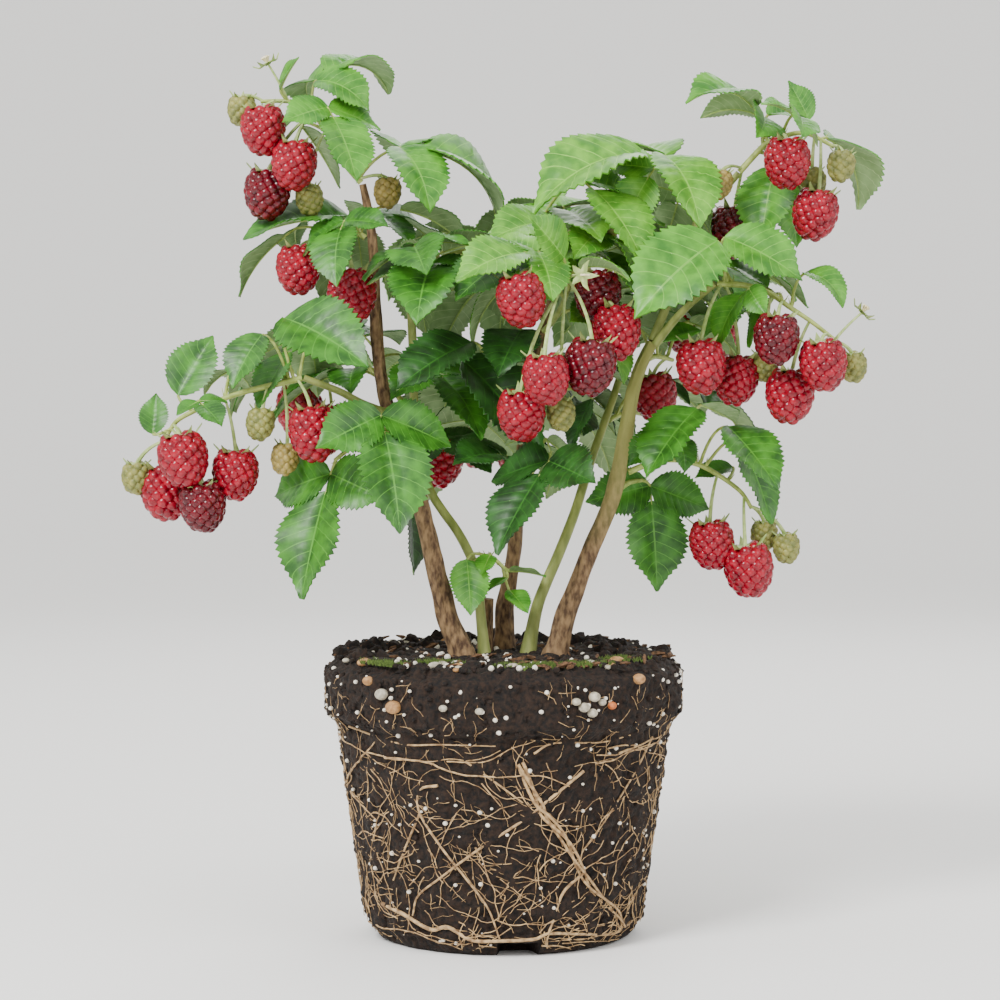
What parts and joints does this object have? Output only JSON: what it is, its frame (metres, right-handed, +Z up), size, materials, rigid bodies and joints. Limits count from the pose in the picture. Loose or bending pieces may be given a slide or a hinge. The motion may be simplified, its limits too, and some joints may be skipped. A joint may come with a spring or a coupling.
{
  "type": "raspberry plant on its root ball",
  "caption": "Fruiting raspberry plant on a bare, tapered root ball of compost: woody canes, green side shoots, three-leaflet leaves, ripe and unripe berries.",
  "frame": {"origin": "centre of the root ball's flat underside", "axes": "+Z up along the root ball's axis, +X to the right of the plant as pictured, -Y towards the side with the most fruit"},
  "size_m": [0.3925, 0.2252, 0.4613],
  "materials": {
    "bark": "rough peeling bark",
    "green_stem": "smooth green bark",
    "foliage": "matt leaves with berries",
    "soil": "rough moist compost"
  },
  "bodies": {
    "root": {"bough_left_arm": "green_stem", "bough_right_arm": "green_stem", "bough_right_top": "green_stem", "cane_centre": "bark", "cane_left": "bark", "cane_right": "bark", "cane_stub": "bark", "root_ball": "soil", "shoot_right": "green_stem", "spray_arm_left": "foliage", "spray_arm_right": "foliage", "spray_back_centre": "foliage", "spray_back_high": "foliage", "spray_back_left": "foliage", "spray_back_right": "foliage", "spray_crown_left": "foliage", "spray_crown_top": "foliage", "spray_drop_right": "foliage", "spray_foot": "foliage", "spray_fruit_front": "foliage", "spray_heart": "foliage", "spray_high_right": "foliage", "spray_low_centre": "foliage", "spray_low_left": "foliage", "spray_low_right": "foliage", "spray_mid_right": "foliage", "spray_shoot_back": "foliage", "spray_shoulder_left": "foliage", "spray_sucker": "foliage", "spray_tip_left": "foliage", "spray_tip_right": "foliage", "sucker_left": "green_stem"}
  },
  "joints": []
}
